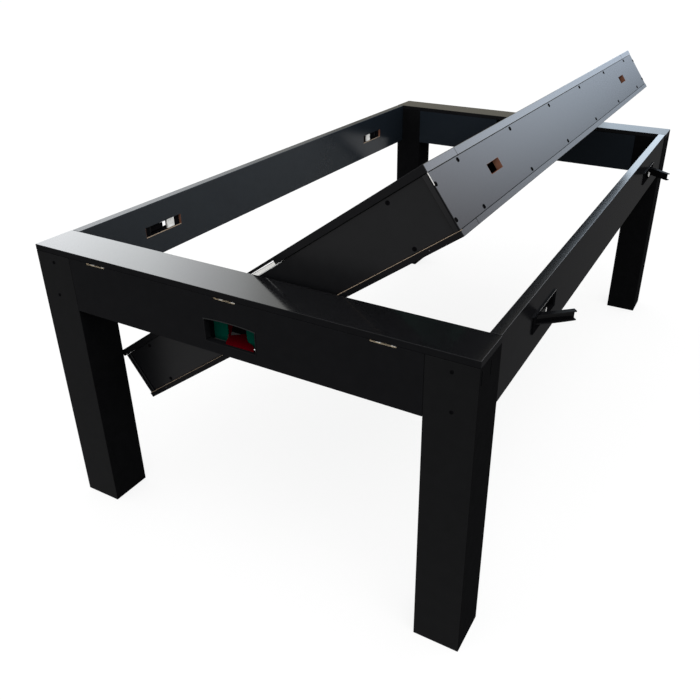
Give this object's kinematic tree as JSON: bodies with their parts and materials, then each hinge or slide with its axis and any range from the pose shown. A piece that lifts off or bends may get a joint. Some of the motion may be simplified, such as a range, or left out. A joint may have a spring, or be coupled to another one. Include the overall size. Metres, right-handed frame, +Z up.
{
  "type": "multi game table",
  "caption": "Long black games table on square legs. Deep end rails carry a thick double-sided play cassette that turns over on end pivots and locks with lever latches in the side rails.",
  "frame": {"origin": "on the floor under the middle of the frame", "axes": "+Y runs along the table from the front end to the back end, +X points to its right side, +Z is up"},
  "size_m": [1.3752, 2.172, 1.1175],
  "materials": {
    "black_laminate": "satin black laminate on fibreboard",
    "steel": "plain turned steel",
    "black_plastic": "black moulding",
    "white_plastic": "smooth white sheet",
    "bed_cloth": "green cloth on a fibreboard bed",
    "cushion_cloth": "green cloth on rubber",
    "green_lining": "matt green lining",
    "red_lining": "matt dark red lining"
  },
  "bodies": {
    "frame": {"back_apron": "black_laminate", "back_inner_board": "black_laminate", "back_pivot_bush": "steel", "back_return_chute": "red_lining", "back_return_plate": "green_lining", "back_top_cap": "black_laminate", "front_apron": "black_laminate", "front_inner_board": "black_laminate", "front_pivot_bush": "steel", "front_return_chute": "red_lining", "front_return_plate": "green_lining", "front_top_cap": "black_laminate", "latch_housing_back_left": "black_plastic", "latch_housing_back_right": "black_plastic", "latch_housing_front_left": "black_plastic", "latch_housing_front_right": "black_plastic", "latch_pin_back_left": "steel", "latch_pin_back_right": "steel", "latch_pin_front_left": "steel", "latch_pin_front_right": "steel", "left_side_rail": "black_laminate", "leg_back_left": "black_laminate", "leg_back_right": "black_laminate", "leg_front_left": "black_laminate", "leg_front_right": "black_laminate", "right_side_rail": "black_laminate"},
    "cassette": {"cassette_end_back": "black_laminate", "cassette_end_front": "black_laminate", "cassette_side_left": "black_laminate", "cassette_side_right": "black_laminate", "cushion_back_end": "cushion_cloth", "cushion_back_left": "cushion_cloth", "cushion_back_right": "cushion_cloth", "cushion_front_end": "cushion_cloth", "cushion_front_left": "cushion_cloth", "cushion_front_right": "cushion_cloth", "goal_plate_back": "white_plastic", "goal_plate_front": "white_plastic", "pivot_shaft_back": "steel", "pivot_shaft_front": "steel", "pocket_cup_back_left": "black_plastic", "pocket_cup_back_right": "black_plastic", "pocket_cup_front_left": "black_plastic", "pocket_cup_front_right": "black_plastic", "pocket_cup_middle_left": "black_plastic", "pocket_cup_middle_right": "black_plastic", "pool_bed": "bed_cloth", "pool_board_back": "black_laminate", "pool_board_front": "black_laminate", "pool_board_left": "black_laminate", "pool_board_right": "black_laminate", "rink_board_back": "black_laminate", "rink_board_front": "black_laminate", "rink_board_left": "black_laminate", "rink_board_right": "black_laminate", "rink_playfield": "white_plastic"},
    "lever_back_left": {"latch_lever_back_left": "black_plastic"},
    "lever_back_right": {"latch_lever_back_right": "black_plastic"},
    "lever_front_left": {"latch_lever_front_left": "black_plastic"},
    "lever_front_right": {"latch_lever_front_right": "black_plastic"}
  },
  "joints": [
    {"name": "cassette_turn", "type": "hinge", "parent": "frame", "child": "cassette", "pos_m": [0, -0.017, 0.718], "axis": [0, 1, 0], "continuous": true},
    {"name": "latch_front_left_swing", "type": "hinge", "parent": "frame", "child": "lever_front_left", "pos_m": [-0.599, -0.707, 0.718], "axis": [0, 0, 1], "range_deg": [-48, 17]},
    {"name": "latch_front_right_swing", "type": "hinge", "parent": "frame", "child": "lever_front_right", "pos_m": [0.599, -0.707, 0.718], "axis": [0, 0, 1], "range_deg": [-17, 48]},
    {"name": "latch_back_left_swing", "type": "hinge", "parent": "frame", "child": "lever_back_left", "pos_m": [-0.599, 0.707, 0.718], "axis": [0, 0, 1], "range_deg": [-12, 53]},
    {"name": "latch_back_right_swing", "type": "hinge", "parent": "frame", "child": "lever_back_right", "pos_m": [0.599, 0.707, 0.718], "axis": [0, 0, 1], "range_deg": [-53, 12]}
  ]
}
